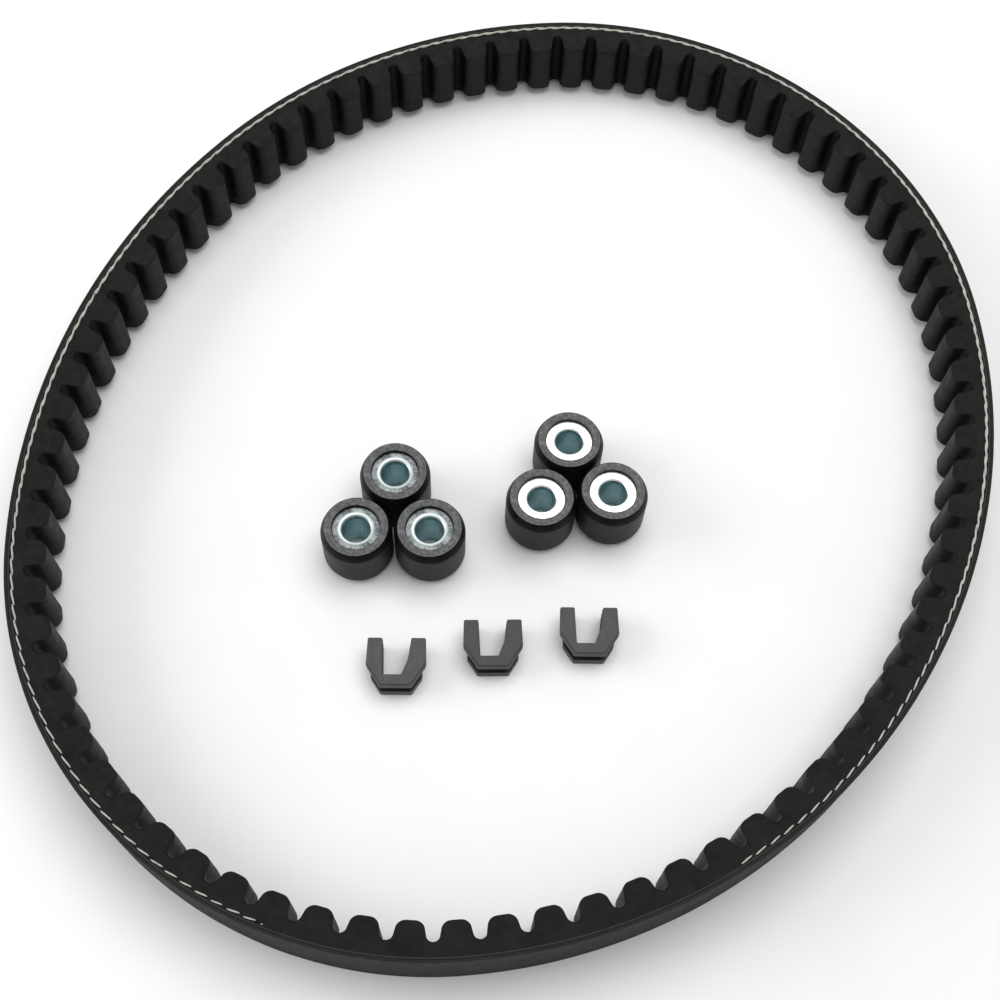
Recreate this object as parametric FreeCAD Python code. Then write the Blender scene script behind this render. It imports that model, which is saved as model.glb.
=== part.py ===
import FreeCAD, Part
import math
import os

# A scooter variator service set, as it comes out of its box: one raw-edge cogged V-belt lying on
# its side, six roller weights standing on end inside the loop, and three slide pieces lying flat.
# Millimetres, +Z up, origin on the standing surface in the middle of the belt's loop.

# Belt
belt_length = 729.0          # round the outer back
belt_width = 18.0            # across the outer back
belt_thickness = 8.2         # outer back to the tips of the cogs
wedge_angle = 30.0           # between the two flanks
cog_count = 77
# The loop lies as a slightly uneven oval: eight tangent arcs of equal sweep, anticlockwise.
loop_radii = [148.0, 100.6, 91.2, 120.3, 156.0, 95.0, 91.1, 126.0]
loop_start = -12.0           # direction in which the first arc begins, degrees from +X
back_ply = 0.5               # woven cover on the outer back
cord_depth = 1.55            # outer back to the middle of the tension cords
cord_radius = 0.5
cord_turns = 12              # times that the cord goes round the belt
cord_edge = 0.7              # flank to the middle of the first turn
root_depth = 4.0             # outer back to the bottom of the gap between two cogs
facing = 0.3                 # fabric facing over the cogs
gap_root_radius = 1.35       # U-shaped bottom of a gap
gap_slope = 12.0             # degrees that a cog's side leans from square
cog_tip_radius = 2.0
first_gap = 0.95             # where the first gap sits, in cog pitches from the start of the loop

# Roller weights
roller_radius = 8.0
roller_height = 13.0
edge_width = 0.7             # steep lead-in cone at both ends of the sleeve: radial size
edge_height = 1.9            # and height
roller_gap = 0.3             # between two standing rollers of one group
insert_radius = 5.4
insert_recess = 0.9          # how far the metal sits below the upper end of the sleeve
insert_lift = 0.2            # and above the lower end
bore_radius = 3.15
bore_chamfer = 0.35
groups = [((-13.4, -33.2), -1.4), ((18.1, -5.9), 4.9)]   # middle of each group of three, turn

# Slide pieces
slide_length = 11.2          # arm ends to the front edge
slide_mouth_width = 12.7     # across the arm ends
slide_width = 13.1           # at the widest
slide_front_width = 6.8
slide_shoulder = 4.9         # front edge up to where the sides stop slanting
notch_depth = 8.4
notch_mouth = 6.3
notch_lean = 0.3             # how far the notch's plain side leans in
notch_floor = 4.0
gusset_height = 3.6          # rib in one inner corner of the notch
gusset_reach = 1.4
lower_plate = 2.05
lower_inset = 0.9            # the lower plate is this much narrower at each side
groove = 2.3                 # slot between the plates for the ramp plate's edge
groove_depth = 1.7
upper_plate = 1.35
step_width = 0.35            # shallow step along the front and slants of the upper plate
step_height = 0.3
slide_places = [((3.9, -61.9), 28.7), ((20.2, -47.9), 29.8), ((37.3, -35.0), 28.5)]   # middle, turn

TAN = math.tan(math.radians(wedge_angle / 2))
UP = FreeCAD.Vector(0, 0, 1)


def vec(x, y, z=0.0):
    return FreeCAD.Vector(x, y, z)


def polar(centre, radius, angle):
    """Point at a radius and an angle in degrees round a centre."""
    a = math.radians(angle)
    return vec(centre[0] + radius * math.cos(a), centre[1] + radius * math.sin(a))


# ---------------------------------------------------------------- the belt's path

def closed_radii(middles):
    """The loop's radii, evened out so that it closes and has its full length."""
    count = len(loop_radii)
    level = belt_length / (2 * math.pi) - sum(loop_radii) / count
    across = 2 / count * sum(r * math.cos(m) for r, m in zip(loop_radii, middles))
    along = 2 / count * sum(r * math.sin(m) for r, m in zip(loop_radii, middles))
    return [r + level - across * math.cos(m) - along * math.sin(m)
            for r, m in zip(loop_radii, middles)]


def loop_arcs():
    """The belt's outer line as tangent arcs: (centre, radius, start, sweep), degrees."""
    sweep = 360.0 / len(loop_radii)
    starts = [loop_start + sweep * i for i in range(len(loop_radii))]
    radii = closed_radii([math.radians(start + sweep / 2) for start in starts])
    centre = vec(0, 0)
    arcs = []
    for i, (start, radius) in enumerate(zip(starts, radii)):
        if i:
            centre = polar(centre, radii[i - 1] - radius, start)
        arcs.append((centre, radius, start, sweep))

    def reach(angle):
        """How far the loop goes in one direction."""
        for middle, radius, start, _ in arcs:
            if (angle - start) % 360 < sweep:
                return middle * polar((0, 0), 1.0, angle) + radius

    middle = vec(reach(0) - reach(180), reach(90) - reach(270)) * 0.5
    return [(centre - middle, radius, start, sweep) for centre, radius, start, sweep in arcs]


ARCS = loop_arcs()


def arc_span(arc):
    """Length of one arc along the cord line."""
    return (arc[1] - cord_depth) * math.radians(arc[3])


CORD_LENGTH = sum(arc_span(arc) for arc in ARCS)
PITCH = CORD_LENGTH / cog_count


def on_path(distance, depth):
    """Point and outward angle at a distance along the cord line, a depth in from the back."""
    distance %= CORD_LENGTH
    for arc in ARCS:
        if distance <= arc_span(arc):
            break
        distance -= arc_span(arc)
    centre, radius, start, sweep = arc
    angle = start + sweep * distance / arc_span(arc)
    return polar(centre, radius - depth, angle), angle


def ring(section):
    """Sweeps a section, drawn as a function of the back's radius, right round the loop."""
    pieces = []
    for centre, radius, start, sweep in ARCS:
        face = section(radius)
        face.rotate(vec(0, 0), UP, start)
        face.translate(centre)
        pieces.append(face.revolve(centre, UP, sweep))
    whole = pieces[0].multiFuse(pieces[1:])
    return Part.makeSolid(whole.Shells[0]) if len(whole.Solids) == 1 else whole


def layer(radius, outer, inner):
    """Cross-section between two depths, bounded by the two slanted flanks."""
    corners = [(radius - outer, outer * TAN), (radius - inner, inner * TAN),
               (radius - inner, belt_width - inner * TAN),
               (radius - outer, belt_width - outer * TAN)]
    points = [vec(r, 0, z) for r, z in corners]
    return Part.Face(Part.makePolygon(points + points[:1]))


def cord_heights():
    low = cord_depth * TAN + cord_edge
    high = belt_width - low
    return [low + (high - low) * turn / (cord_turns - 1) for turn in range(cord_turns)]


def cord_section(radius, z):
    circle = Part.Circle(vec(radius - cord_depth, 0, z), vec(0, 1, 0), cord_radius)
    return Part.Face(Part.Wire(circle.toShape()))


def grooved_layer(radius, outer, inner):
    """A layer with half-round beds for the cords."""
    face = layer(radius, outer, inner)
    cut = face.cut([cord_section(radius, z) for z in cord_heights()])
    return cut.Faces[0]


# ---------------------------------------------------------------- belt layers

def cog_outline(inset):
    """Closed inner outline of all the cogs, an inset outside the finished cog surface."""
    root = root_depth - inset
    tip = belt_thickness - inset
    root_radius = gap_root_radius + inset
    tip_radius = cog_tip_radius - inset
    lean = math.radians(gap_slope)
    # Half a gap in its own frame: x along the belt, d the depth. The bottom is a half-round,
    # the side leans outward by the slope, and the tip corner is a quarter-round.
    root_centre = root + root_radius
    low = (root_radius * math.cos(lean), root_centre)
    tip_centre_d = tip - tip_radius
    run = tip_centre_d - root_centre
    side = low[0] + run * math.tan(lean)
    tip_centre_x = side + tip_radius
    half = [
        (0.0, root),
        (root_radius * math.sin(math.pi / 4), root_centre - root_radius * math.cos(math.pi / 4)),
        low,
        (side, tip_centre_d),
        (tip_centre_x - tip_radius * math.cos(math.pi / 4),
         tip_centre_d + tip_radius * math.sin(math.pi / 4)),
        (tip_centre_x, tip),
    ]
    edges = []
    previous = None
    first = None
    for index in range(cog_count):
        distance = (index + first_gap) * PITCH
        middle, angle = on_path(distance, 0.0)
        outward = polar((0, 0), 1.0, angle)
        along = polar((0, 0), 1.0, angle + 90.0)

        def place(x, depth):
            return middle - outward * depth + along * x

        left = [place(-x, d) for x, d in half]
        right = [place(x, d) for x, d in half]
        if previous is not None:
            edges.append(tip_edge(previous, left[5], distance - PITCH / 2, tip))
        else:
            first = left[5]
        edges.append(Part.Arc(left[5], left[4], left[3]).toShape())
        edges.append(Part.LineSegment(left[3], left[2]).toShape())
        edges.append(Part.Arc(left[2], left[0], right[2]).toShape())
        edges.append(Part.LineSegment(right[2], right[3]).toShape())
        edges.append(Part.Arc(right[3], right[4], right[5]).toShape())
        previous = right[5]
    edges.append(tip_edge(previous, first, (first_gap - 0.5) * PITCH, tip))
    return Part.Wire(edges)


def tip_edge(start, end, distance, depth):
    """The rounded tip of one cog, through the point of the path at its middle."""
    middle, angle = on_path(distance, depth)
    return Part.Arc(start, middle, end).toShape()


def upright(outer_wire, inner_wire):
    """Upright wall between two closed outlines, as tall as the belt is wide."""
    face = Part.Face(outer_wire).cut(Part.Face(inner_wire))
    return face.extrude(vec(0, 0, belt_width)).Solids[0]


def back_line():
    """Closed line round the belt's outer back."""
    edges = []
    for centre, radius, start, sweep in ARCS:
        points = [polar(centre, radius, start + sweep * part) for part in (0.0, 0.5, 1.0)]
        edges.append(Part.Arc(*points).toShape())
    return Part.Wire(edges)


def back_cover():
    return ring(lambda radius: layer(radius, 0.0, back_ply))


def overcord_rubber():
    return ring(lambda radius: grooved_layer(radius, back_ply, cord_depth))


def tension_cords():
    turns = [ring(lambda radius, z=z: cord_section(radius, z)) for z in cord_heights()]
    return Part.makeCompound(turns)


def cog_rubber():
    """Rubber below the cords, with the cogs cut into it."""
    under = ring(lambda radius: grooved_layer(radius, cord_depth, belt_thickness))
    cogs = upright(back_line(), cog_outline(facing))
    return under.common(cogs)


def cog_facing():
    """Thin fabric that follows the cogs' surface."""
    sheet = upright(cog_outline(facing), cog_outline(0.0))
    return sheet.common(ring(lambda radius: layer(radius, cord_depth, belt_thickness + 1.0)))


# ---------------------------------------------------------------- roller weights

def turned(profile):
    """Solid of revolution from (radius, height) points round the vertical axis."""
    points = [vec(r, 0, z) for r, z in profile]
    return Part.Face(Part.makePolygon(points + points[:1])).revolve(vec(0, 0), UP, 360)


def roller_sleeve():
    neck = roller_radius - edge_width
    return turned([
        (insert_radius, 0), (neck, 0), (roller_radius, edge_height),
        (roller_radius, roller_height - edge_height), (neck, roller_height),
        (insert_radius, roller_height)])


def roller_insert():
    high = roller_height - insert_recess
    c = bore_chamfer
    return turned([
        (bore_radius + c, insert_lift), (insert_radius, insert_lift), (insert_radius, high),
        (bore_radius + c, high), (bore_radius, high - c), (bore_radius, insert_lift + c)])


def roller_places():
    """Two groups of three, each a close triangle."""
    reach = (2 * roller_radius + roller_gap) / math.sqrt(3)
    places = []
    for centre, turn in groups:
        for angle in (120.0, 240.0, 0.0):
            places.append(polar(centre, reach, angle + turn))
    return places


# ---------------------------------------------------------------- slide pieces

def rounded(points, radii):
    """Closed wire through corner points, each corner an arc of its own radius."""
    edges = []
    count = len(points)
    ends = []
    for i, radius in enumerate(radii):
        before, corner, after = points[i - 1], points[i], points[(i + 1) % count]
        a = (before - corner).normalize()
        b = (after - corner).normalize()
        half = a.getAngle(b) / 2
        cut = radius / math.tan(half)
        inward = (a + b).normalize()
        middle = corner + inward * (radius / math.sin(half) - radius)
        ends.append((corner + a * cut, middle, corner + b * cut))
    for i, (start, middle, end) in enumerate(ends):
        edges.append(Part.Arc(start, middle, end).toShape())
        edges.append(Part.LineSegment(end, ends[(i + 1) % count][0]).toShape())
    return Part.Wire(edges)


def slide_outline(side_inset=0.0, front_inset=0.0):
    """U outline, front edge on y = 0, arms along +Y. The arms' outer sides move in by one inset,
    the front edge and the two slanted sides by the other."""
    mouth = slide_mouth_width / 2 - side_inset
    wide = slide_width / 2 - side_inset
    slant = vec(slide_width / 2 - slide_front_width / 2, slide_shoulder).normalize()
    start = vec(slide_front_width / 2, 0) + vec(-slant.y, slant.x) * front_inset
    front = start.x + slant.x * (front_inset - start.y) / slant.y
    shoulder = start.y + slant.y * (wide - start.x) / slant.x
    floor = slide_length - notch_depth
    floor_left = notch_lean - notch_mouth / 2
    floor_right = floor_left + notch_floor
    corners = [   # x, y and the radius that rounds the corner
        (-front, front_inset, 0.5), (front, front_inset, 0.5),
        (wide, shoulder, 1.5), (mouth, slide_length, 0.35),
        (notch_mouth / 2, slide_length, 0.3),
        (floor_right + gusset_reach, floor + gusset_height, 1.0),
        (floor_right, floor, 0.3), (floor_left, floor, 0.3),
        (-notch_mouth / 2, slide_length, 0.3), (-mouth, slide_length, 0.35),
        (-wide, shoulder, 1.5),
    ]
    return rounded([vec(x, y) for x, y, _ in corners], [radius for _, _, radius in corners])


def slide_layer(low, high, *insets):
    wire = slide_outline(*insets)
    wire.translate(vec(0, 0, low))
    return Part.Face(wire).extrude(vec(0, 0, high - low))


def slide_piece():
    """Two U-shaped plates joined by a narrower web, which leaves a groove round the outside."""
    upper = lower_plate + groove
    total = upper + upper_plate
    body = slide_layer(0.0, lower_plate, lower_inset, 0.0)
    for higher in (slide_layer(lower_plate, upper, groove_depth, groove_depth),
                   slide_layer(upper, total - step_height),
                   slide_layer(total - step_height, total, 0.0, step_width)):
        body = body.fuse(higher)
    return body.removeSplitter()


def placed(shape, place, turn=0.0):
    copy = shape.copy()
    copy.rotate(vec(0, 0), UP, turn)
    copy.translate(vec(place[0], place[1]))
    return copy


# ---------------------------------------------------------------- export

def build():
    nodes = {
        "belt_back_cover": back_cover(),
        "belt_overcord_rubber": overcord_rubber(),
        "belt_tension_cords": tension_cords(),
        "belt_cog_rubber": cog_rubber(),
        "belt_cog_facing": cog_facing(),
    }
    for number, place in enumerate(roller_places(), 1):
        nodes["roller_sleeve_%d" % number] = placed(roller_sleeve(), place)
        nodes["roller_insert_%d" % number] = placed(roller_insert(), place)
    slide = slide_piece()
    slide.translate(vec(0, -slide_length / 2))
    for number, (place, turn) in enumerate(slide_places, 1):
        nodes["slide_piece_%d" % number] = placed(slide, place, turn)
    return nodes


os.makedirs("parts", exist_ok=True)
for name, shape in build().items():
    shape.exportStep("parts/%s.step" % name)
    print("%-22s solids %d valid %s volume %.1f" % (name, len(shape.Solids), shape.isValid(), shape.Volume))
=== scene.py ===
"""Scooter variator service set: a cogged V-belt on its side, six roller weights, three slide pieces."""
import math

import bpy
import numpy as np
from mathutils import Matrix, Vector


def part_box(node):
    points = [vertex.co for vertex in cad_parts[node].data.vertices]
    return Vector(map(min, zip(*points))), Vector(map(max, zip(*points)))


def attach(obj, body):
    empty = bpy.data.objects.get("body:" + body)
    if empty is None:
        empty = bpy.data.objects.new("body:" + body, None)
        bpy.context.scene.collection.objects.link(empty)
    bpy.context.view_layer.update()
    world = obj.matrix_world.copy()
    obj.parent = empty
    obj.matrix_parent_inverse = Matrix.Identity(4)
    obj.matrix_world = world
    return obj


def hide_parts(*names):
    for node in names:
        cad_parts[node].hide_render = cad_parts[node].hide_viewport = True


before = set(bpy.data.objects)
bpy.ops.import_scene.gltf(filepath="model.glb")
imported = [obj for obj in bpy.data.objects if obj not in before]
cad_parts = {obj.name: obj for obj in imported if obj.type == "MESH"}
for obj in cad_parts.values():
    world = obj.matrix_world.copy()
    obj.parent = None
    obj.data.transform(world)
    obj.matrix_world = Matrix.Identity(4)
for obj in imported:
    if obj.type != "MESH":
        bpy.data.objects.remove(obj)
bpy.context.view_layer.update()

MM = 0.001

# ------------------------------------------------------------------ sizes, millimetres

BELT_LENGTH = 729.0
BELT_WIDTH = 18.0
BELT_THICKNESS = 8.2
TAN = math.tan(math.radians(15.0))       # lean of each flank
COG_COUNT = 77
LOOP_RADII = np.array([148.0, 100.6, 91.2, 120.3, 156.0, 95.0, 91.1, 126.0])
LOOP_START = math.radians(-12.0)         # where the first of the eight arcs begins
BACK_PLY = 0.5
CORD_DEPTH = 1.55
ROOT_DEPTH = 4.0
FACING = 0.3
GAP_ROOT_RADIUS = 1.35
GAP_SLOPE = math.radians(12.0)
COG_TIP_RADIUS = 2.0
FIRST_GAP = 0.95

ROLLER_RADIUS = 8.0
ROLLER_HEIGHT = 13.0
EDGE_WIDTH = 0.7
EDGE_HEIGHT = 1.9
INSERT_RADIUS = 5.4
INSERT_RECESS = 0.9
INSERT_LIFT = 0.2
BORE_RADIUS = 3.15
BORE_CHAMFER = 0.35

SLIDE_LENGTH = 11.2
SLIDE_MOUTH_WIDTH = 12.7
SLIDE_WIDTH = 13.1
SLIDE_FRONT_WIDTH = 6.8
SLIDE_SHOULDER = 4.9
NOTCH_DEPTH = 8.4
NOTCH_MOUTH = 6.3
NOTCH_LEAN = 0.3
NOTCH_FLOOR = 4.0
GUSSET_HEIGHT = 3.6
GUSSET_REACH = 1.4
LOWER_PLATE = 2.05
LOWER_INSET = 0.9
GROOVE = 2.3
GROOVE_DEPTH = 1.7
UPPER_PLATE = 1.35
STEP_WIDTH = 0.35
STEP_HEIGHT = 0.3
SLIDE_PLACES = [((3.9, -61.9), 28.7), ((20.2, -47.9), 29.8), ((37.3, -35.0), 28.5)]


# ------------------------------------------------------------------ mesh helpers

def mesh_piece(name, points, faces, materials, face_slots=None, corner_uv=None, sharp=None):
    """Object from points in millimetres; faces may use several materials."""
    mesh = bpy.data.meshes.new(name)
    mesh.from_pydata([tuple(p) for p in np.asarray(points, float) * MM], [], faces)
    for material in materials:
        mesh.materials.append(material)
    if face_slots is not None:
        mesh.polygons.foreach_set("material_index", np.asarray(face_slots, np.int32))
    if corner_uv is not None:
        layer = mesh.uv_layers.new(name="surface")
        layer.data.foreach_set("uv", np.asarray(corner_uv, np.float32).ravel())
    mesh.polygons.foreach_set("use_smooth", np.ones(len(mesh.polygons), bool))
    if sharp is not None:
        mesh.set_sharp_from_angle(angle=math.radians(sharp))
    mesh.update()
    piece = bpy.data.objects.new(name, mesh)
    bpy.context.scene.collection.objects.link(piece)
    return piece


def loft(name, points, materials, uv, slots_by_row=None, sharp=None):
    """Closed ring of closed sections. points is [station][row][3]; uv gives the length along
    each station (one more than there are stations) and across each row (one more than rows)."""
    stations, rows = points.shape[:2]
    index = np.arange(stations * rows).reshape(stations, rows)
    a = index
    b = np.roll(index, -1, axis=0)
    c = np.roll(b, -1, axis=1)
    d = np.roll(index, -1, axis=1)
    faces = np.stack([a, b, c, d], axis=-1).reshape(-1, 4)
    along, across = uv
    u0 = np.repeat(along[:-1], rows)
    u1 = np.repeat(along[1:], rows)
    v0 = np.tile(across[:-1], stations)
    v1 = np.tile(across[1:], stations)
    corner = np.stack([np.stack([u0, v0], -1), np.stack([u1, v0], -1),
                       np.stack([u1, v1], -1), np.stack([u0, v1], -1)], axis=1)
    slots = None if slots_by_row is None else np.tile(slots_by_row, stations)
    return mesh_piece(name, points.reshape(-1, 3), faces.tolist(), materials, slots, corner, sharp)


# ------------------------------------------------------------------ shader helpers

class Shader:
    """One material's node tree, built by calls that link their inputs."""

    def __init__(self, name):
        self.material = bpy.data.materials.new(name)
        self.material.use_nodes = True
        self.tree = self.material.node_tree
        self.tree.nodes.clear()
        output = self.tree.nodes.new("ShaderNodeOutputMaterial")
        self.surface = self.tree.nodes.new("ShaderNodeBsdfPrincipled")
        self.tree.links.new(self.surface.outputs[0], output.inputs["Surface"])
        self.position = self.tree.nodes.new("ShaderNodeTexCoord").outputs["Object"]

    def put(self, socket, value):
        if isinstance(value, bpy.types.NodeSocket):
            self.tree.links.new(value, socket)
        else:
            socket.default_value = value

    def node(self, kind, inputs=None, output=0, **settings):
        made = self.tree.nodes.new(kind)
        for key, value in settings.items():
            setattr(made, key, value)
        for key, value in (inputs or {}).items():
            self.put(made.inputs[key], value)
        return made.outputs[output]

    def math(self, operation, a, b=0.0, c=0.0):
        return self.node("ShaderNodeMath", {0: a, 1: b, 2: c}, operation=operation)

    def stretch(self, vector, scale):
        return self.node("ShaderNodeMapping", {"Vector": vector, "Scale": scale})

    def noise(self, scale, detail=4.0, roughness=0.55, vector=None):
        return self.node("ShaderNodeTexNoise", {
            "Vector": vector or self.position, "Scale": scale, "Detail": detail,
            "Roughness": roughness})

    def cells(self, scale, vector=None):
        return self.node("ShaderNodeTexVoronoi", {"Vector": vector or self.position, "Scale": scale})

    def ramp(self, value, low, high, to_low=0.0, to_high=1.0):
        return self.node("ShaderNodeMapRange", {
            "Value": value, "From Min": low, "From Max": high, "To Min": to_low, "To Max": to_high})

    def blend(self, factor, first, second):
        made = self.tree.nodes.new("ShaderNodeMix")
        made.data_type = "RGBA"
        self.put(made.inputs[0], factor)
        self.put(made.inputs[6], first)
        self.put(made.inputs[7], second)
        return made.outputs[2]

    def axis(self, vector, which):
        return self.node("ShaderNodeSeparateXYZ", {0: vector}, output=which)

    def uv(self):
        return self.node("ShaderNodeUVMap", uv_map="surface")

    def radius(self):
        """Distance in metres from the piece's own upright axis."""
        x = self.axis(self.position, 0)
        y = self.axis(self.position, 1)
        return self.math("SQRT", self.math("ADD", self.math("MULTIPLY", x, x), self.math("MULTIPLY", y, y)))

    def rings(self, radius, per_metre):
        """Uneven concentric turning marks."""
        return self.node("ShaderNodeTexNoise", {
            "W": self.math("MULTIPLY", radius, per_metre), "Scale": 1.0, "Detail": 2.0},
            noise_dimensions="1D")

    def bump(self, height, distance, strength=1.0, after=None):
        made = self.tree.nodes.new("ShaderNodeBump")
        made.inputs["Strength"].default_value = strength
        made.inputs["Distance"].default_value = distance
        self.put(made.inputs["Height"], height)
        if after is not None:
            self.put(made.inputs["Normal"], after)
        return made.outputs[0]

    def finish(self, colour, roughness, normal, metallic=0.0, specular=0.5):
        self.put(self.surface.inputs["Base Color"], colour)
        self.put(self.surface.inputs["Roughness"], roughness)
        self.put(self.surface.inputs["Normal"], normal)
        self.surface.inputs["Metallic"].default_value = metallic
        self.surface.inputs["Specular IOR Level"].default_value = specular
        return self.material


def grey(value, warm=0.0):
    """Neutral colour, a little warmer or cooler."""
    return (value * (1 + warm), value, value * (1 - warm), 1.0)


# ------------------------------------------------------------------ materials

def cut_rubber():
    """Ground belt flank: dark rubber with short cut fibre ends and a paler line above the cord."""
    s = Shader("cut_rubber")
    depth = s.axis(s.uv(), 1)
    mottle = s.noise(180.0)
    colour = s.blend(s.ramp(mottle, 0.35, 0.7), grey(0.0055), grey(0.0105, 0.02))
    line = s.math("SUBTRACT", 1.0, s.ramp(s.math("ABSOLUTE", s.math("SUBTRACT", depth, 0.92)), 0.06, 0.2))
    colour = s.blend(s.math("MULTIPLY", line, 0.6), colour, grey(0.05, 0.12))
    fibres = s.ramp(s.cells(2600.0), 0.06, 0.16, 1.0, 0.0)
    patches = s.ramp(s.noise(420.0, 2.0), 0.5, 0.62)
    colour = s.blend(s.math("MULTIPLY", s.math("MULTIPLY", fibres, patches), 0.3), colour,
                     grey(0.07, 0.08))
    roughness = s.ramp(s.noise(600.0), 0.3, 0.7, 0.5, 0.72)
    fine = s.bump(s.noise(2400.0, 5.0, 0.7), 0.00008, 0.5)
    normal = s.bump(fibres, 0.00005, 0.4, fine)
    return s.finish(colour, roughness, normal, specular=0.14)


def back_fabric():
    """Rubberised canvas on the belt's back: a bias weave, worn paler on the thread tops."""
    s = Shader("back_fabric")
    uv = s.uv()
    along = s.axis(uv, 0)
    across = s.axis(uv, 1)
    wave = 2 * math.pi / 0.62
    one = s.math("SINE", s.math("MULTIPLY", s.math("ADD", along, across), wave))
    two = s.math("SINE", s.math("MULTIPLY", s.math("SUBTRACT", along, across), wave))
    weave = s.math("MULTIPLY_ADD", s.math("ADD", one, two), 0.25, 0.5)
    broad = s.noise(55.0, 3.0)
    mottle = s.noise(460.0, 6.0, 0.7)
    colour = s.blend(s.ramp(mottle, 0.3, 0.72), grey(0.014), grey(0.027, 0.02))
    colour = s.blend(s.math("MULTIPLY", s.ramp(broad, 0.4, 0.65), 0.35), colour, grey(0.034, 0.03))
    ticks = s.ramp(s.noise(1.0, 3.0, 0.6, s.stretch(uv, (2.6, 0.12, 1.0))), 0.6, 0.7)
    colour = s.blend(s.math("MULTIPLY", ticks, 0.35), colour, grey(0.012))
    height = s.math("ADD", weave, s.math("MULTIPLY", mottle, 1.2))
    height = s.math("SUBTRACT", height, s.math("MULTIPLY", ticks, 0.8))
    return s.finish(colour, s.ramp(mottle, 0.3, 0.7, 0.6, 0.82), s.bump(height, 0.0002, 0.9),
                    specular=0.2)


def cog_fabric():
    """Stretched fabric facing over the cogs: fine ribs along the belt, and painted shade that turns the
    gaps' bottoms black.
    """
    s = Shader("cog_fabric")
    uv = s.uv()
    threads = s.noise(1.0, 3.0, 0.6, s.stretch(uv, (0.16, 2.3, 1.0)))
    mottle = s.noise(260.0, 4.0, 0.6)
    colour = s.blend(s.ramp(mottle, 0.3, 0.7), grey(0.003, -0.02), grey(0.008, -0.03))
    colour = s.blend(s.math("MULTIPLY", s.ramp(threads, 0.45, 0.62), 0.6), colour, grey(0.017, -0.02))
    # Painted shade: the fabric turns near-black at the middle of each gap between cogs, where the gap's
    # walls shut out the light.
    cog_phase = s.math("SUBTRACT", s.math("DIVIDE", s.axis(uv, 0), PITCH), FIRST_GAP)
    gap_bottom_painted_shade = s.ramp(s.math("PINGPONG", cog_phase, 0.5), 0.13, 0.22, 0.85, 0.0)
    colour = s.blend(gap_bottom_painted_shade, colour, grey(0.0012))
    height = s.math("ADD", s.math("MULTIPLY", threads, 2.2), mottle)
    return s.finish(colour, s.ramp(mottle, 0.3, 0.7, 0.42, 0.6), s.bump(height, 0.00022, 0.8),
                    specular=0.16)


def cord_yarn():
    """Off-white twisted polyester with fine filaments and rubber smears."""
    s = Shader("cord_yarn")
    filaments = s.noise(1.0, 3.0, 0.7, s.stretch(s.uv(), (1.2, 9.0, 1.0)))
    smear = s.noise(700.0, 4.0, 0.6)
    colour = s.blend(s.ramp(filaments, 0.3, 0.7), (0.33, 0.325, 0.285, 1.0), (0.64, 0.63, 0.57, 1.0))
    colour = s.blend(s.ramp(smear, 0.58, 0.74), colour, grey(0.16, 0.08))
    return s.finish(colour, s.ramp(smear, 0.3, 0.7, 0.6, 0.8), s.bump(filaments, 0.00005, 0.6),
                    specular=0.3)


def polymer_face():
    """Turned face of a roller's sleeve: greenish grey with fine rings and cutter marks."""
    s = Shader("polymer_face")
    wobble = s.math("MULTIPLY", s.noise(160.0, 2.0), 0.0006)
    rings = s.rings(s.math("ADD", s.radius(), wobble), 3800.0)
    mottle = s.noise(1100.0, 6.0, 0.75)
    colour = s.blend(s.ramp(rings, 0.32, 0.68), grey(0.062, -0.01), grey(0.108, -0.01))
    colour = s.blend(s.math("MULTIPLY", s.ramp(mottle, 0.5, 0.6), 0.7), colour, grey(0.19))
    colour = s.blend(s.ramp(mottle, 0.36, 0.46, 0.6, 0.0), colour, grey(0.03))
    height = s.math("ADD", rings, s.math("MULTIPLY", mottle, 1.4))
    return s.finish(colour, s.ramp(mottle, 0.3, 0.7, 0.45, 0.62), s.bump(height, 0.00006, 0.7),
                    specular=0.35)


def polymer_wall():
    """Rubbed side of a roller's sleeve."""
    s = Shader("polymer_wall")
    scuffs = s.noise(1.0, 4.0, 0.6, s.stretch(s.position, (260.0, 260.0, 1500.0)))
    mottle = s.noise(500.0, 4.0)
    colour = s.blend(s.ramp(mottle, 0.3, 0.7), grey(0.012), grey(0.019))
    colour = s.blend(s.math("MULTIPLY", s.ramp(scuffs, 0.5, 0.75), 0.4), colour, grey(0.032))
    return s.finish(colour, s.ramp(scuffs, 0.3, 0.7, 0.4, 0.58), s.bump(scuffs, 0.00004, 0.5),
                    specular=0.17)


def polymer_cone_painted_shade():
    """Smooth moulded lead-in cone, coloured near-black as painted shade for the dark surroundings its steep
    slope faces.
    """
    s = Shader("polymer_cone_painted_shade")
    mottle = s.noise(700.0, 4.0)
    # Painted shade: both greys are near-black, far darker than the sleeve's face and wall.
    colour = s.blend(s.ramp(mottle, 0.3, 0.7), grey(0.003), grey(0.006))
    return s.finish(colour, s.ramp(mottle, 0.3, 0.7, 0.36, 0.5), s.bump(mottle, 0.00003, 0.4),
                    specular=0.1)


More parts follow.
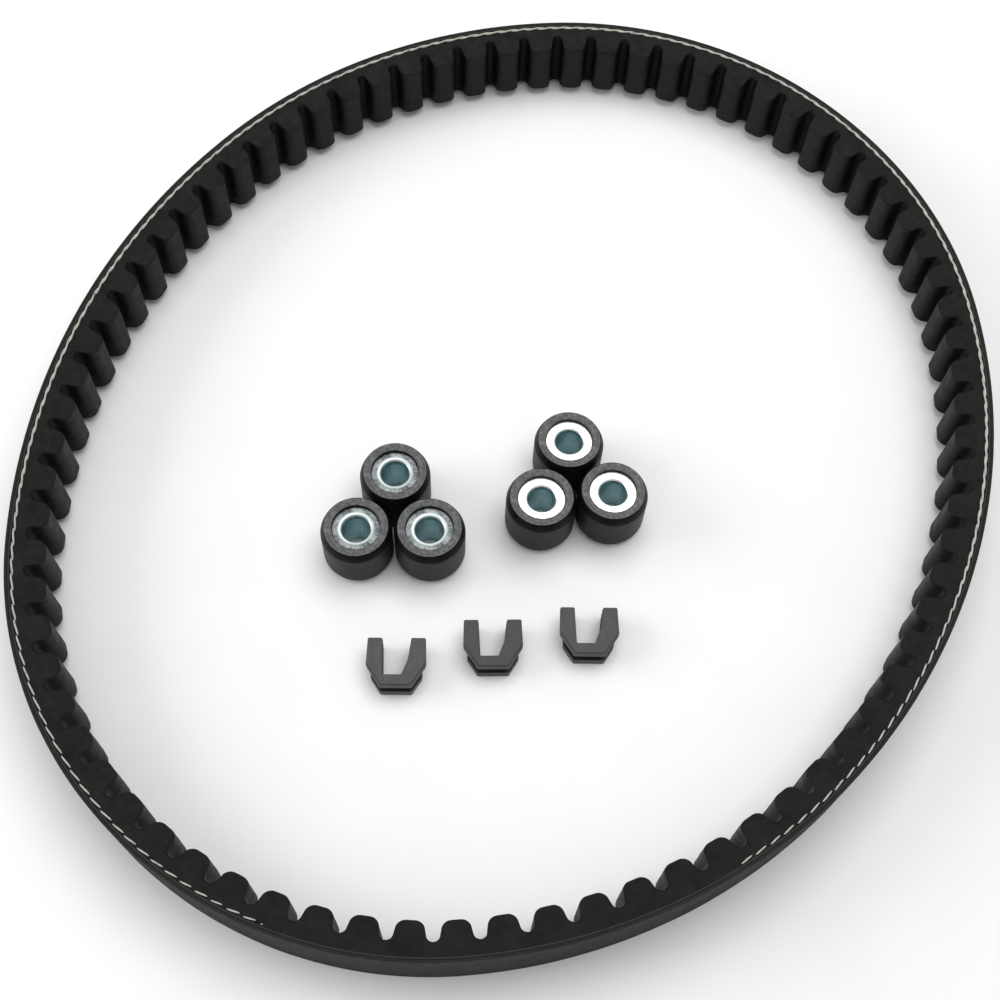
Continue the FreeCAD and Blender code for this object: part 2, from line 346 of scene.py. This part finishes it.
def plain_metal():
    """Zinc-plated insert end: pressed and speckled, radial streaks, and a bright ring round the bore
    painted in as the bevel's highlight, with smoother bump there.
    """
    s = Shader("plain_metal")
    radius = s.radius()
    round_the_bore = s.math("ARCTAN2", s.axis(s.position, 1), s.axis(s.position, 0))
    polar_place = s.node("ShaderNodeCombineXYZ",
                         {0: round_the_bore, 1: s.math("MULTIPLY", radius, 1000.0)})
    streaks = s.noise(1.0, 3.0, 0.6, s.stretch(polar_place, (14.0, 0.7, 1.0)))
    fine = s.noise(2100.0, 5.0, 0.75)
    broad = s.noise(300.0, 2.0)
    speckle = s.math("MULTIPLY_ADD", broad, 0.25, s.math("MULTIPLY", fine, 0.45))
    speckle = s.math("MULTIPLY_ADD", streaks, 0.3, speckle)
    colour = s.blend(s.ramp(speckle, 0.43, 0.57), (0.052, 0.06, 0.063, 1.0), (0.26, 0.285, 0.29, 1.0))
    colour = s.blend(s.math("MULTIPLY", s.ramp(broad, 0.5, 0.66), 0.5), colour, (0.42, 0.455, 0.46, 1.0))
    # Painted highlight: a pale ring round the bore stands for light caught on the bevel; the same ring also
    # smooths the bump.
    rim = s.ramp(s.math("MULTIPLY_ADD", broad, 0.0004, radius), 0.0040, 0.0044, 1.0, 0.0)
    colour = s.blend(s.math("MULTIPLY", rim, 0.85), colour, (0.62, 0.67, 0.67, 1.0))
    height = s.math("ADD", s.math("MULTIPLY", streaks, 0.5), fine)
    rough = s.math("MULTIPLY", height, s.math("SUBTRACT", 1.0, s.math("MULTIPLY", rim, 0.85)))
    return s.finish(colour, s.ramp(fine, 0.3, 0.7, 0.34, 0.5), s.bump(rough, 0.0001, 0.6),
                    metallic=1.0)


def polished_metal():
    """Faced insert end: bright, with faint turning rings."""
    s = Shader("polished_metal")
    rings = s.rings(s.radius(), 9000.0)
    mottle = s.noise(600.0, 3.0)
    colour = s.blend(s.ramp(mottle, 0.3, 0.7), (0.93, 0.955, 0.955, 1.0), (0.97, 0.985, 0.985, 1.0))
    return s.finish(colour, s.ramp(mottle, 0.3, 0.7, 0.3, 0.42), s.bump(rings, 0.00002, 0.4),
                    metallic=1.0)


def bore_metal():
    """Drawn bore of an insert: teal-grey passivated zinc with lengthwise draw marks."""
    s = Shader("bore_metal")
    draws = s.noise(1.0, 4.0, 0.6, s.stretch(s.position, (1500.0, 1500.0, 90.0)))
    tint = s.noise(170.0, 3.0)
    colour = s.blend(s.ramp(tint, 0.35, 0.65), (0.36, 0.56, 0.62, 1.0), (0.45, 0.63, 0.61, 1.0))
    colour = s.blend(s.math("MULTIPLY", s.ramp(draws, 0.45, 0.7), 0.4), colour, (0.56, 0.76, 0.77, 1.0))
    return s.finish(colour, s.ramp(draws, 0.3, 0.7, 0.24, 0.34), s.bump(draws, 0.00003, 0.5),
                    metallic=1.0)


def glass_filled(name, dark, pale):
    """Glass-filled nylon of a slide piece: matte, with flow streaks and pale fibre specks."""
    s = Shader(name)
    mottle = s.noise(700.0, 6.0, 0.7)
    flow = s.noise(1.0, 3.0, 0.6, s.stretch(s.position, (900.0, 220.0, 500.0)))
    colour = s.blend(s.ramp(mottle, 0.3, 0.72), grey(dark, 0.02), grey(pale, 0.04))
    colour = s.blend(s.math("MULTIPLY", s.ramp(flow, 0.5, 0.72), 0.45), colour, grey(pale * 1.35, 0.03))
    specks = s.ramp(s.cells(1900.0), 0.05, 0.14, 1.0, 0.0)
    colour = s.blend(s.math("MULTIPLY", specks, 0.35), colour, grey(pale * 2.2, 0.02))
    height = s.math("ADD", mottle, s.math("MULTIPLY", specks, 0.4))
    return s.finish(colour, s.ramp(mottle, 0.3, 0.7, 0.45, 0.66), s.bump(height, 0.00016, 0.8),
                    specular=0.45)


def pale_floor():
    s = Shader("pale_floor")
    grain = s.noise(40.0, 3.0)
    colour = s.blend(s.ramp(grain, 0.3, 0.7), grey(0.95), grey(0.97))
    return s.finish(colour, s.ramp(grain, 0.3, 0.7, 0.85, 0.95), s.bump(grain, 0.0001, 0.05),
                    specular=0.1)


# ------------------------------------------------------------------ the belt's path

def loop_arcs():
    """Centre x and y, radius, first angle and sweep of the loop's eight tangent arcs."""
    count = len(LOOP_RADII)
    sweep = 2 * math.pi / count
    starts = LOOP_START + sweep * np.arange(count)
    middles = starts + sweep / 2
    across, along = np.cos(middles), np.sin(middles)
    level = BELT_LENGTH / (2 * math.pi) - LOOP_RADII.mean()
    radii = (LOOP_RADII + level - 2 / count * (LOOP_RADII @ across) * across
             - 2 / count * (LOOP_RADII @ along) * along)
    steps = np.stack([np.cos(starts[1:]), np.sin(starts[1:])], axis=1) * -np.diff(radii)[:, None]
    centres = np.concatenate([np.zeros((1, 2)), np.cumsum(steps, axis=0)])
    reach = []
    for angle in (0.0, math.pi / 2, math.pi, 3 * math.pi / 2):
        which = int(((angle - LOOP_START) % (2 * math.pi)) // sweep)
        reach.append(centres[which] @ (math.cos(angle), math.sin(angle)) + radii[which])
    centres -= np.array([reach[0] - reach[2], reach[1] - reach[3]]) / 2
    return np.column_stack([centres, radii, starts, np.full(count, sweep)])


ARCS = loop_arcs()
SPANS = (ARCS[:, 2] - CORD_DEPTH) * ARCS[:, 4]
STARTS = np.concatenate([[0.0], np.cumsum(SPANS)])
CORD_LENGTH = STARTS[-1]
PITCH = CORD_LENGTH / COG_COUNT


def arc_at(distance):
    """Which arc a distance along the cord line is on, and how far along that arc."""
    along = np.mod(distance, CORD_LENGTH)
    which = np.clip(np.searchsorted(STARTS, along, side="right") - 1, 0, len(ARCS) - 1)
    return which, along - STARTS[which]


def on_belt(distance, depth, height):
    """Points at distances along the cord line, depths in from the back and heights."""
    which, rest = arc_at(distance)
    angle = ARCS[which, 3] + ARCS[which, 4] * rest / SPANS[which]
    radius = ARCS[which, 2] - depth
    x = ARCS[which, 0] + radius * np.cos(angle)
    y = ARCS[which, 1] + radius * np.sin(angle)
    return np.stack([x, y, height], axis=-1)


def cog_line(inset):
    """Distances and depths of the cogs' inner line, an inset outside the finished surface."""
    root_radius = GAP_ROOT_RADIUS + inset
    tip_radius = COG_TIP_RADIUS - inset
    root_centre = ROOT_DEPTH - inset + root_radius
    tip_centre = BELT_THICKNESS - inset - tip_radius
    turn = math.pi / 2 - GAP_SLOPE
    half = [(root_radius * math.sin(turn * t), root_centre - root_radius * math.cos(turn * t))
            for t in np.linspace(0, 1, 7)]
    low = half[-1]
    side = root_radius * math.cos(GAP_SLOPE) + (tip_centre - root_centre) * math.tan(GAP_SLOPE)
    corner = side + tip_radius
    rise = [(corner - tip_radius * math.cos(a), tip_centre + tip_radius * math.sin(a))
            for a in np.linspace(0.0, math.pi / 2, 7)]
    half += [(low[0] + (rise[0][0] - low[0]) * t, low[1] + (rise[0][1] - low[1]) * t)
             for t in (0.33, 0.67)]
    half += rise
    half = np.array(half)
    distances = []
    depths = []
    for index in range(COG_COUNT):
        middle = (index + FIRST_GAP) * PITCH
        radius = ARCS[arc_at(np.array(middle))[0], 2]
        reach = half[:, 0] * (radius - CORD_DEPTH) / (radius - half[:, 1])
        flat = reach[-1] + (PITCH / 2 - reach[-1]) * np.array([0.5, 1.0])
        right = np.concatenate([reach, flat])
        deep = np.concatenate([half[:, 1], [BELT_THICKNESS - inset] * 2])
        distances.append(middle + np.concatenate([-right[-2:0:-1], right]))
        depths.append(np.concatenate([deep[-2:0:-1], deep]))
    return np.concatenate(distances), np.concatenate(depths)


def cord_sink(distance):
    """How deep the cord's middle lies under the flank: bare on the far side, only its crowns
    showing at both near corners, buried on the near stretch."""
    places = (0.0, 20.0, 60.0, 440.0, 500.0, 583.0, 588.0, 673.0, 678.0, CORD_LENGTH)
    depths = (0.275, 0.265, 0.19, 0.19, 0.255, 0.295, 0.95, 0.95, 0.285, 0.275)
    return np.interp(distance % CORD_LENGTH, places, depths)


def ripple(distance, height, phase):
    """Shallow unevenness of moulded rubber."""
    return (0.5 * np.sin(height * 1.05 + np.sin(distance * 0.37 + phase) * 2.2)
            + 0.5 * np.sin(distance * 0.21 + height * 0.4 + phase))


# ------------------------------------------------------------------ belt pieces

def belt_rubber_body(material):
    """Rubber from under the cover to under the cog facing, with a shallow bed for the cord."""
    distance, deep = cog_line(FACING)
    under_bed = 2.02                      # depth at which the flank is plain again under the cord
    flank = [BACK_PLY, 0.62, 0.95, 1.08, 1.16, 1.3, CORD_DEPTH, 1.8, 1.94, under_bed]
    bed = [0.0, 0.0, 0.0, 0.0, 0.07, 0.12, 0.12, 0.12, 0.07, 0.0]
    cog_parts = [0.15, 0.35, 0.55, 0.75, 0.9, 1.0]
    shut, deepest = 0.33, 0.2             # cord sinks at which its bed closes and is deepest
    bare = np.clip((shut - cord_sink(distance)) / (shut - deepest), 0.0, 1.0)
    depth_rows = [np.full_like(deep, value) for value in flank]
    depth_rows += [under_bed + (deep - under_bed) * part for part in cog_parts]
    sunk = [value * bare for value in bed] + [np.zeros_like(deep)] * len(cog_parts)
    rough = [0.01 * ripple(distance, depth, 1.0) for depth in depth_rows]
    flank_rows = list(zip(depth_rows, sunk, rough))
    top = [(depth, BELT_WIDTH - depth * TAN - low + wave) for depth, low, wave in flank_rows]
    bottom = [(depth, depth * TAN + low - wave + 0.01) for depth, low, wave in flank_rows[::-1]]
    inner = [(deep, BELT_WIDTH - deep * TAN - (BELT_WIDTH - 2 * deep * TAN) * part)
             for part in np.linspace(0, 1, 8)[1:-1]]
    back = [(np.full_like(deep, BACK_PLY), np.full_like(deep, BELT_WIDTH * part))
            for part in (0.25, 0.5, 0.75)]
    rows = top + inner + bottom + back
    depth = np.stack([row[0] for row in rows], axis=1)
    height = np.stack([row[1] for row in rows], axis=1)
    points = on_belt(np.repeat(distance[:, None], depth.shape[1], 1), depth, height)
    below = 2.1 + np.arange(2 * len(cog_parts) + len(inner))
    across = np.concatenate([flank, below, flank[::-1], [0.2] * len(back), [BACK_PLY]])
    along = np.concatenate([distance, [distance[0] + CORD_LENGTH]])
    return loft("belt_rubber_body", points, [material], (along, across), sharp=50)


def belt_cog_facing(material):
    """Fabric skin on the cogs, its cut edges a little below the flanks."""
    outer_distance, outer = cog_line(0.0)
    inner_distance, inner = cog_line(FACING)
    low_edge, high_edge = 0.03, 0.12
    steps = np.linspace(0, 1, 22)
    rows = []
    for part in steps:
        top = BELT_WIDTH - outer * TAN - high_edge
        bottom = outer * TAN + high_edge
        height = top + (bottom - top) * part
        wave = 0.035 * ripple(outer_distance, height, 0.0)
        rows.append((outer_distance, outer + wave, height))
    rows.append((outer_distance, outer - 0.08, outer * TAN + low_edge))
    rows.append((inner_distance, inner + 0.01, inner * TAN + low_edge))
    rows.append((inner_distance, inner - 0.02, inner * 0 + BELT_WIDTH / 2))
    rows.append((inner_distance, inner + 0.01, BELT_WIDTH - inner * TAN - low_edge))
    rows.append((outer_distance, outer - 0.08, BELT_WIDTH - outer * TAN - low_edge))
    points = on_belt(*[np.stack([row[k] for row in rows], axis=1) for k in range(3)])
    along = np.concatenate([outer_distance, [outer_distance[0] + CORD_LENGTH]])
    across = np.concatenate([steps * BELT_WIDTH, [18.1, 18.4, 27.0, 36.0, 36.3, 36.5]])
    return loft("belt_cog_facing", points, [material], (along, across), sharp=50)


def belt_cover(material):
    """Woven cover on the back, with soft corners where it was trimmed with the flanks."""
    count = 1500
    distance = np.arange(count) * CORD_LENGTH / count
    corner = [(0.16, 0.0), (0.04, 0.06), (0.0, 0.2)]      # depth and distance in from the flank
    section = [(BACK_PLY, BELT_WIDTH - BACK_PLY * TAN + 0.02)]
    section += [(depth, BELT_WIDTH - inward) for depth, inward in corner]
    section += [(0.0, height) for height in np.linspace(BELT_WIDTH - 1.0, 1.0, 18)]
    section += corner[::-1] + [(BACK_PLY, BACK_PLY * TAN)]
    section += [(BACK_PLY + 0.01, BELT_WIDTH * part) for part in (0.3, 0.7)]
    section = np.array(section)
    s, depth = np.meshgrid(distance, section[:, 0], indexing="ij")
    height = np.tile(section[:, 1], (count, 1))
    outside = depth < 0.01
    depth = depth + np.where(outside, 0.02 + 0.02 * ripple(s, height, 2.0), 0.0)
    points = on_belt(s, depth, height)
    along = np.concatenate([distance, [CORD_LENGTH]])
    steps = np.hypot(np.diff(section[:, 0], append=BACK_PLY), np.diff(section[:, 1], append=BELT_WIDTH))
    across = np.concatenate([[0.0], np.cumsum(steps)])
    return loft("belt_cover", points, [material], (along, across), sharp=60)


def cord_ply(name, material, side, start):
    """One of the two plies of the cord that the ground flank lays bare."""
    twists = 101
    lay_radius = 0.15
    ply_radius = 0.2
    count = twists * 22
    distance = np.arange(count) * CORD_LENGTH / count
    twist = 2 * math.pi * twists * distance / CORD_LENGTH + start
    sink = cord_sink(distance) + 0.012 * np.sin(distance * 0.83) * np.sin(distance * 0.117)
    around = np.linspace(0, 2 * math.pi, 10, endpoint=False)
    depth = (CORD_DEPTH + lay_radius * np.sin(twist))[:, None] + ply_radius * np.cos(around)[None]
    rise = (lay_radius * np.cos(twist) - sink)[:, None] + ply_radius * np.sin(around)[None]
    middle = CORD_DEPTH * TAN
    height = BELT_WIDTH - middle + rise if side > 0 else middle - rise
    height = height - side * (depth - CORD_DEPTH) * TAN
    points = on_belt(np.repeat(distance[:, None], len(around), 1), depth, height)
    along = np.concatenate([distance, [CORD_LENGTH]])
    across = np.linspace(0.0, 2 * math.pi * ply_radius, len(around) + 1)
    return loft(name, points, [material], (along, across))


# ------------------------------------------------------------------ rollers

def lathed(name, centre, profile, materials, slots, segments=128, sharp=40):
    """Closed profile of (radius, height) turned round the vertical axis through the centre."""
    profile = np.array(profile)
    angle = np.linspace(0, 2 * math.pi, segments, endpoint=False)
    points = np.stack([np.cos(angle)[:, None] * profile[:, 0], np.sin(angle)[:, None] * profile[:, 0],
                       np.tile(profile[:, 1], (segments, 1))], axis=-1)
    along = np.linspace(0, 1, segments + 1)
    across = np.linspace(0, 1, len(profile) + 1)
    piece = loft(name, points, materials, (along, across), np.array(slots), sharp)
    piece.location = centre
    return piece


def corner_arc(centre, radius, first, last, steps=4):
    """Points of a rounded corner of a profile, angles in degrees."""
    return [(centre[0] + radius * math.cos(math.radians(first + (last - first) * t / steps)),
             centre[1] + radius * math.sin(math.radians(first + (last - first) * t / steps)))
            for t in range(steps + 1)]


def sleeve(number, face, cone, wall):
    """Moulded sleeve: flat ends, a steep cone at both that is painted near-black as shade, a straight
    running wall.
    """
    low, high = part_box("roller_sleeve_%d" % number)
    centre = ((low.x + high.x) / 2, (low.y + high.y) / 2, low.z)
    neck = ROLLER_RADIUS - EDGE_WIDTH
    lip = 0.12                            # rounding at the mouth of the recess
    rim = 0.16                            # and at the outer edge of the face
    top = [(INSERT_RADIUS, ROLLER_HEIGHT * 0.5, 2), (INSERT_RADIUS, ROLLER_HEIGHT - INSERT_RECESS, 2)]
    top += [(r, z, 0) for r, z in corner_arc((INSERT_RADIUS + lip, ROLLER_HEIGHT - lip), lip, 180, 90)]
    top += [(r, ROLLER_HEIGHT, 0) for r in np.linspace(INSERT_RADIUS + 0.4, neck - 0.4, 5)]
    top += [(r, z, 1) for r, z in corner_arc((neck - rim, ROLLER_HEIGHT - rim), rim, 90, 20)]
    edge = ROLLER_HEIGHT - EDGE_HEIGHT
    top += [(neck + EDGE_WIDTH * t, ROLLER_HEIGHT - EDGE_HEIGHT * t, 1) for t in (0.35, 0.65, 0.9)]
    top += [(ROLLER_RADIUS - 0.01, edge - 0.12, 2), (ROLLER_RADIUS, edge - 0.3, 2)]
    top += [(ROLLER_RADIUS, ROLLER_HEIGHT * 0.6, 2)]
    bottom = []
    for k in range(len(top) - 1, -1, -1):
        radius, height, _ = top[k]
        slot = top[k - 1][2] if k else 2
        bottom.append((radius, ROLLER_HEIGHT - height, slot))
    profile = top + bottom
    return lathed("sleeve_%d" % number, centre, [(r, z) for r, z, _ in profile],
                  [face, cone, wall], [slot for _, _, slot in profile])


def insert(number, end, bore):
    """Metal tube pressed into the sleeve, below its ends, with a bevelled bore."""
    low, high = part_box("roller_insert_%d" % number)
    centre = ((low.x + high.x) / 2, (low.y + high.y) / 2, low.z - INSERT_LIFT * MM)
    bottom = INSERT_LIFT
    top = ROLLER_HEIGHT - INSERT_RECESS
    outer = INSERT_RADIUS - 0.02
    mouth = BORE_RADIUS + BORE_CHAMFER
    rounding = 0.15
    chamfered = BORE_RADIUS + 0.05
    profile = [(outer, bottom + rounding, 0), (outer, (bottom + top) / 2, 0)]
    profile += [(r, z, 0) for r, z in corner_arc((outer - rounding, top - rounding), rounding, 0, 90)]
    profile += [(4.6, top, 0), (4.1, top, 0), (mouth + 0.06, top, 0), (mouth - 0.03, top - 0.02, 0)]
    profile += [(chamfered, top - BORE_CHAMFER + 0.03, 0), (BORE_RADIUS, top - BORE_CHAMFER - 0.06, 1)]
    profile += [(BORE_RADIUS, z, 1) for z in np.linspace(top - 2.0, bottom + 2.0, 6)]
    profile += [(BORE_RADIUS, bottom + BORE_CHAMFER + 0.06, 0)]
    profile += [(chamfered, bottom + BORE_CHAMFER - 0.03, 0), (mouth - 0.03, bottom + 0.02, 0)]
    profile += [(mouth + 0.06, bottom, 0), (4.1, bottom, 0), (4.6, bottom, 0)]
    low_corner = corner_arc((outer - rounding, bottom + rounding), rounding, -90, 0)
    profile += [(r, z, 0) for r, z in low_corner[:-1]]
    return lathed("insert_%d" % number, centre, [(r, z) for r, z, _ in profile], [end, bore],
                  [slot for _, _, slot in profile])


# ------------------------------------------------------------------ slide pieces

def unit(vector):
    return vector / np.hypot(*vector)


def rounded(corners, steps=5):
    """Outline through corners of (x, y, radius), each corner an arc of its own radius."""
    points = []
    count = len(corners)
    for i, (x, y, radius) in enumerate(corners):
        corner = np.array([x, y])
        a = unit(np.array(corners[i - 1][:2]) - corner)
        b = unit(np.array(corners[(i + 1) % count][:2]) - corner)
        half = math.acos(float(np.clip(a @ b, -1, 1))) / 2
        centre = corner + unit(a + b) * radius / math.sin(half)
        start = corner + a * radius / math.tan(half) - centre
        end = corner + b * radius / math.tan(half) - centre
        first = math.atan2(start[1], start[0])
        turn = (math.atan2(end[1], end[0]) - first + math.pi) % (2 * math.pi) - math.pi
        for t in np.linspace(0, 1, steps + 1):
            angle = first + turn * t
            points.append(centre + radius * np.array([math.cos(angle), math.sin(angle)]))
    return np.array(points)


def slide_outline(side_inset=0.0, front_inset=0.0):
    """U outline, front edge on y = 0, arms along +Y, shifted so that the piece is centred."""
    mouth = SLIDE_MOUTH_WIDTH / 2 - side_inset
    wide = SLIDE_WIDTH / 2 - side_inset
    slant = unit(np.array([SLIDE_WIDTH / 2 - SLIDE_FRONT_WIDTH / 2, SLIDE_SHOULDER]))
    start = np.array([SLIDE_FRONT_WIDTH / 2, 0.0]) + np.array([-slant[1], slant[0]]) * front_inset
    front = start[0] + slant[0] * (front_inset - start[1]) / slant[1]
    shoulder = start[1] + slant[1] * (wide - start[0]) / slant[0]
    floor = SLIDE_LENGTH - NOTCH_DEPTH
    floor_left = NOTCH_LEAN - NOTCH_MOUTH / 2
    floor_right = floor_left + NOTCH_FLOOR
    corners = [
        (-front, front_inset, 0.5), (front, front_inset, 0.5),
        (wide, shoulder, 1.5), (mouth, SLIDE_LENGTH, 0.35),
        (NOTCH_MOUTH / 2, SLIDE_LENGTH, 0.3),
        (floor_right + GUSSET_REACH, floor + GUSSET_HEIGHT, 1.0),
        (floor_right, floor, 0.3), (floor_left, floor, 0.3),
        (-NOTCH_MOUTH / 2, SLIDE_LENGTH, 0.3), (-mouth, SLIDE_LENGTH, 0.35),
        (-wide, shoulder, 1.5),
    ]
    return rounded(corners) - np.array([0.0, SLIDE_LENGTH / 2])


def shrunk(outline, amount):
    """Outline moved in by an amount along its own normals."""
    tangent = np.roll(outline, -1, axis=0) - np.roll(outline, 1, axis=0)
    tangent /= np.hypot(tangent[:, 0], tangent[:, 1])[:, None]
    return outline + np.stack([-tangent[:, 1], tangent[:, 0]], axis=1) * amount


def slide(number, place, turn, material, groove_painted_shade):
    """Two bevelled U plates on a narrower web, with a step along the upper front edge."""
    full = slide_outline()
    base = slide_outline(LOWER_INSET, 0.0)
    web = slide_outline(GROOVE_DEPTH, GROOVE_DEPTH)
    step = slide_outline(0.0, STEP_WIDTH)
    bevel = 0.1
    small = 0.07
    upper = LOWER_PLATE + GROOVE
    total = upper + UPPER_PLATE
    ledge = total - STEP_HEIGHT
    rings = [
        (shrunk(base, bevel * 2), 0.0), (shrunk(base, bevel), 0.0),
        (shrunk(base, bevel * 0.3), bevel * 0.3), (base, bevel), (base, LOWER_PLATE / 2),
        (base, LOWER_PLATE - small), (shrunk(base, small * 0.3), LOWER_PLATE - small * 0.3),
        (shrunk(base, small), LOWER_PLATE), (shrunk(web, -small), LOWER_PLATE),
        (web, LOWER_PLATE + small),
        (web, upper - small), (shrunk(web, -small), upper), (shrunk(full, small), upper),
        (shrunk(full, small * 0.3), upper + small * 0.3), (full, upper + small),
        (full, ledge - small), (shrunk(full, small * 0.3), ledge - small * 0.3),
        (shrunk(full, small), ledge), (shrunk(step, small), ledge + 0.001),
        (shrunk(step, small), ledge + small), (shrunk(step, small), total - bevel),
        (shrunk(step, small + bevel * 0.3), total - bevel * 0.3),
        (shrunk(step, small + bevel), total), (shrunk(step, small + bevel * 2), total),
    ]
    groove_levels = range(7, 12)          # rings between which the groove gets near-black painted shade
    count = len(full)
    points = np.array([[x, y, z] for outline, z in rings for x, y in outline])
    faces = []
    slots = []
    for level in range(len(rings) - 1):
        for i in range(count):
            j = (i + 1) % count
            low = level * count
            faces.append((low + i, low + j, low + count + j, low + count + i))
            slots.append(1 if level in groove_levels else 0)
    faces.append(tuple(range(count))[::-1])
    last = (len(rings) - 1) * count
    faces.append(tuple(last + i for i in range(count)))
    piece = mesh_piece("slide_%d" % number, points, faces, [material, groove_painted_shade], slots + [0, 0],
                       sharp=38)
    piece.matrix_world = (Matrix.Translation((place[0] * MM, place[1] * MM, 0.0))
                          @ Matrix.Rotation(math.radians(turn), 4, "Z"))
    return piece


# ------------------------------------------------------------------ make everything

def finished(piece, body, slot, *nodes):
    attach(piece, body)
    if nodes:
        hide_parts(*nodes)
    return piece


def make_belt():
    finished(belt_cover(back_fabric()), "belt", "belt_cover", "belt_back_cover")
    finished(belt_rubber_body(cut_rubber()), "belt", "belt_rubber", "belt_overcord_rubber",
             "belt_cog_rubber")
    finished(belt_cog_facing(cog_fabric()), "belt", "cog_fabric", "belt_cog_facing")
    yarn = cord_yarn()
    for side, where in ((1, "top"), (-1, "bottom")):
        for ply, start in ((1, 0.0), (2, math.pi)):
            piece = cord_ply("cord_%s_ply_%d" % (where, ply), yarn, side, start)
            finished(piece, "belt", "belt_cord", "belt_tension_cords")


def make_rollers():
    face, cone, wall = polymer_face(), polymer_cone_painted_shade(), polymer_wall()
    plain, polished, bore = plain_metal(), polished_metal(), bore_metal()
    for number in range(1, 7):
        body = "roller_%d" % number
        end, slot = (plain, "insert_plain") if number <= 3 else (polished, "insert_polished")
        finished(sleeve(number, face, cone, wall), body, "roller_polymer", "roller_sleeve_%d" % number)
        finished(insert(number, end, bore), body, slot, "roller_insert_%d" % number)


def make_slides():
    finishes = [glass_filled("nylon_pale", 0.042, 0.075), glass_filled("nylon_mid", 0.033, 0.056),
                glass_filled("nylon_dark", 0.04, 0.066)]
    # Painted shade: a near-black copy of the nylon for the recessed groove between the plates, where little
    # light reaches.
    groove_painted_shade = glass_filled("nylon_slot_painted_shade", 0.0015, 0.003)
    for number, ((place, turn), material) in enumerate(zip(SLIDE_PLACES, finishes), 1):
        piece = slide(number, place, turn, material, groove_painted_shade)
        finished(piece, "slide_%d" % number, "slide_polymer", "slide_piece_%d" % number)


def make_stage():
    reach = 3.0
    mesh = bpy.data.meshes.new("floor")
    mesh.from_pydata([(-reach, -reach, 0), (reach, -reach, 0), (reach, reach, 0), (-reach, reach, 0)],
                     [], [(0, 1, 2, 3)])
    mesh.materials.append(pale_floor())
    floor = bpy.data.objects.new("floor", mesh)
    floor.location.z = -0.0001
    bpy.context.scene.collection.objects.link(floor)


def area_light(name, place, aim, size, power, colour=(1.0, 1.0, 1.0)):
    data = bpy.data.lights.new(name, "AREA")
    data.shape = "RECTANGLE"
    data.size, data.size_y = size
    data.energy = power
    data.color = colour
    lamp = bpy.data.objects.new(name, data)
    lamp.location = place
    lamp.rotation_mode = "QUATERNION"
    lamp.rotation_quaternion = (Vector(aim) - Vector(place)).to_track_quat("-Z", "Y")
    bpy.context.scene.collection.objects.link(lamp)


def make_light():
    world = bpy.data.worlds.new("studio")
    world.use_nodes = True
    world.node_tree.nodes["Background"].inputs["Color"].default_value = (1.0, 1.0, 1.0, 1.0)
    world.node_tree.nodes["Background"].inputs["Strength"].default_value = 0.49
    bpy.context.scene.world = world
    area_light("overhead_soft", (0.05, 0.25, 0.9), (0.0, 0.0, 0.0), (0.9, 0.7), 5.1)
    area_light("left_soft", (-0.75, -0.35, 0.4), (0.0, 0.0, 0.0), (0.6, 0.5), 3.5)
    bpy.context.scene.view_settings.view_transform = "Standard"


def make_camera():
    """Camera from its place in metres, elevation, turn round the vertical and roll."""
    place = Vector((0.067462, -0.146721, 0.285757))
    elevation, turn, roll = math.radians(62.676), math.radians(25.713), math.radians(3.265)
    data = bpy.data.cameras.new("photo_view")
    data.sensor_width = 36.0
    data.lens = 49.363
    data.clip_start = 0.01
    data.clip_end = 20.0
    camera = bpy.data.objects.new("photo_view", data)
    look = Vector((-math.sin(turn) * math.cos(elevation), math.cos(turn) * math.cos(elevation),
                   -math.sin(elevation)))
    right = Vector((math.cos(turn), math.sin(turn), 0.0))
    up = right.cross(look)
    x = math.cos(roll) * right + math.sin(roll) * up
    y = -math.sin(roll) * right + math.cos(roll) * up
    basis = Matrix((x, y, -look)).transposed().to_4x4()
    camera.matrix_world = Matrix.Translation(place) @ basis
    bpy.context.scene.collection.objects.link(camera)
    bpy.context.scene.camera = camera


make_camera()
make_light()
make_stage()
make_belt()
make_rollers()
make_slides()
